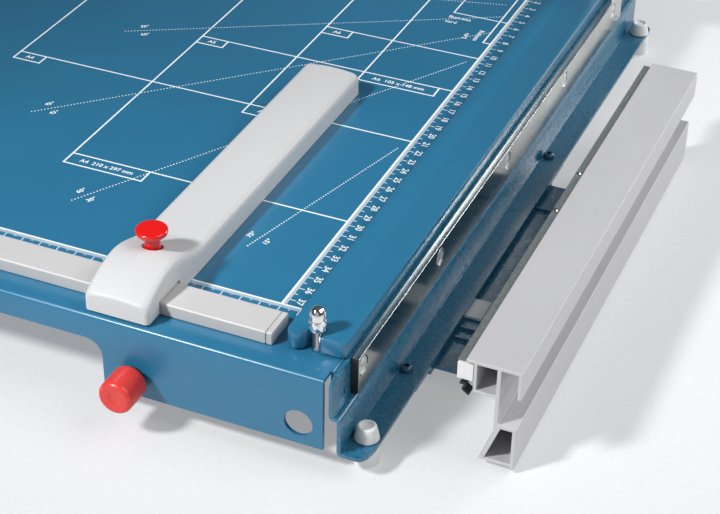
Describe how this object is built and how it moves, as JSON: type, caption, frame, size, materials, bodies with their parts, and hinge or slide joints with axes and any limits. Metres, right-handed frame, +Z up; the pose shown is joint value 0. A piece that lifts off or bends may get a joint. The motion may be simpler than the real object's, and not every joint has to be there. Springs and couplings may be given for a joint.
{
  "type": "lever paper cutter",
  "caption": "Blue steel lever paper cutter with printed ruler table, clamp bar, raised blade arm, sliding backstop and an aluminium narrow-strip stop driven by a knob.",
  "frame": {"origin": "centre of the footprint, on the surface the feet stand on", "axes": "+X to the right across the cut, +Y away from the user along the cut, +Z up"},
  "size_m": [0.4382, 0.5152, 0.5484],
  "materials": {
    "table_blue": "semi-gloss fine powder coat",
    "rail_blue": "semi-gloss powder coat",
    "clamp_blue": "textured powder coat",
    "blade_steel": "ground tool steel",
    "bright_steel": "bright plated",
    "zinc_steel": "zinc plated",
    "aluminium": "satin anodised",
    "cast_aluminium": "cast",
    "rail_grey": "warm grey lacquer",
    "stop_grey": "fine spark texture",
    "red": "glossy",
    "white": "satin",
    "black": "satin",
    "strip_grey": "speckled satin",
    "foot_grey": "matt",
    "rubber": "matt",
    "spring_steel": "bright wire"
  },
  "bodies": {
    "base": {"acorn_nut_1": "bright_steel", "acorn_nut_2": "bright_steel", "base_tray": "table_blue", "bracket_bolt_1": "zinc_steel", "bracket_bolt_2": "zinc_steel", "carriage_guide_far": "rail_blue", "carriage_guide_near": "rail_blue", "clamp_spring_1": "spring_steel", "clamp_spring_2": "spring_steel", "clamp_stud_1": "zinc_steel", "clamp_stud_2": "zinc_steel", "far_fence": "rail_grey", "flange_screw_1": "rail_blue", "flange_screw_2": "rail_blue", "foot_1": "foot_grey", "foot_2": "foot_grey", "foot_3": "foot_grey", "foot_4": "foot_grey", "guide_pad": "aluminium", "knife": "blade_steel", "knife_bolt_1": "bright_steel", "knife_bolt_2": "bright_steel", "knife_bolt_3": "bright_steel", "knife_bolt_4": "bright_steel", "knife_bolt_5": "bright_steel", "left_rail": "rail_blue", "near_rail": "rail_grey", "near_rail_cap_1": "rail_grey", "near_rail_cap_2": "rail_grey", "pivot_bolt": "bright_steel", "pivot_bracket": "cast_aluminium", "pivot_nut": "zinc_steel", "pivot_washer": "zinc_steel", "shaft_bush": "black", "side_rail": "rail_blue"},
    "backstop": {"backstop_arm": "stop_grey", "spring_plate": "zinc_steel", "button_spring": "spring_steel"},
    "stop_button": {"backstop_button": "red", "brake_shoe": "rubber"},
    "clamp": {"clamp_bar": "clamp_blue"},
    "lever": {"blade_arm": "cast_aluminium", "upper_blade": "blade_steel", "handle_grip": "black", "blade_screw_1": "zinc_steel", "blade_screw_2": "zinc_steel", "blade_screw_3": "zinc_steel"},
    "strip_carriage": {"carriage_plate": "rail_blue", "drive_rack": "zinc_steel", "stop_bracket": "rail_blue", "stop_profile": "aluminium", "stop_insert": "white", "stop_strip": "strip_grey", "stop_clip": "black", "strip_screw_1": "bright_steel", "strip_screw_2": "bright_steel"},
    "knob": {"front_knob": "red", "knob_shaft": "zinc_steel", "drive_pinion": "zinc_steel"}
  },
  "joints": [
    {"name": "backstop_slide", "type": "slide", "parent": "base", "child": "backstop", "axis": [1, 0, 0], "range_m": [-0.225, 0.053]},
    {"name": "button_press", "type": "slide", "parent": "backstop", "child": "stop_button", "axis": [0, 0, 1], "range_m": [-0.003, 0], "stiffness_N_per_m": 400, "springref_m": 0.002, "deforming": ["button_spring"]},
    {"name": "arm_pivot", "type": "hinge", "parent": "base", "child": "lever", "pos_m": [0.15095, 0.22565, 0.0695], "axis": [1, 0, 0], "range_deg": [-10, 58]},
    {"name": "clamp_slide", "type": "slide", "parent": "base", "child": "clamp", "axis": [0, 0, 1], "range_m": [-0.0009, 0.0003], "deforming": ["clamp_spring_1", "clamp_spring_2"]},
    {"name": "carriage_slide", "type": "slide", "parent": "base", "child": "strip_carriage", "axis": [1, 0, 0], "range_m": [-0.034, 0.05]},
    {"name": "knob_turn", "type": "hinge", "parent": "base", "child": "knob", "pos_m": [0.04055, -0.24735, 0.0251], "axis": [0, 1, 0], "range_deg": [-274, 187]}
  ],
  "couplings": [
    {"joint": "clamp_slide", "follows": "arm_pivot", "m_per_rad": -0.00085},
    {"joint": "knob_turn", "follows": "carriage_slide", "rad_per_m": -95.238}
  ]
}
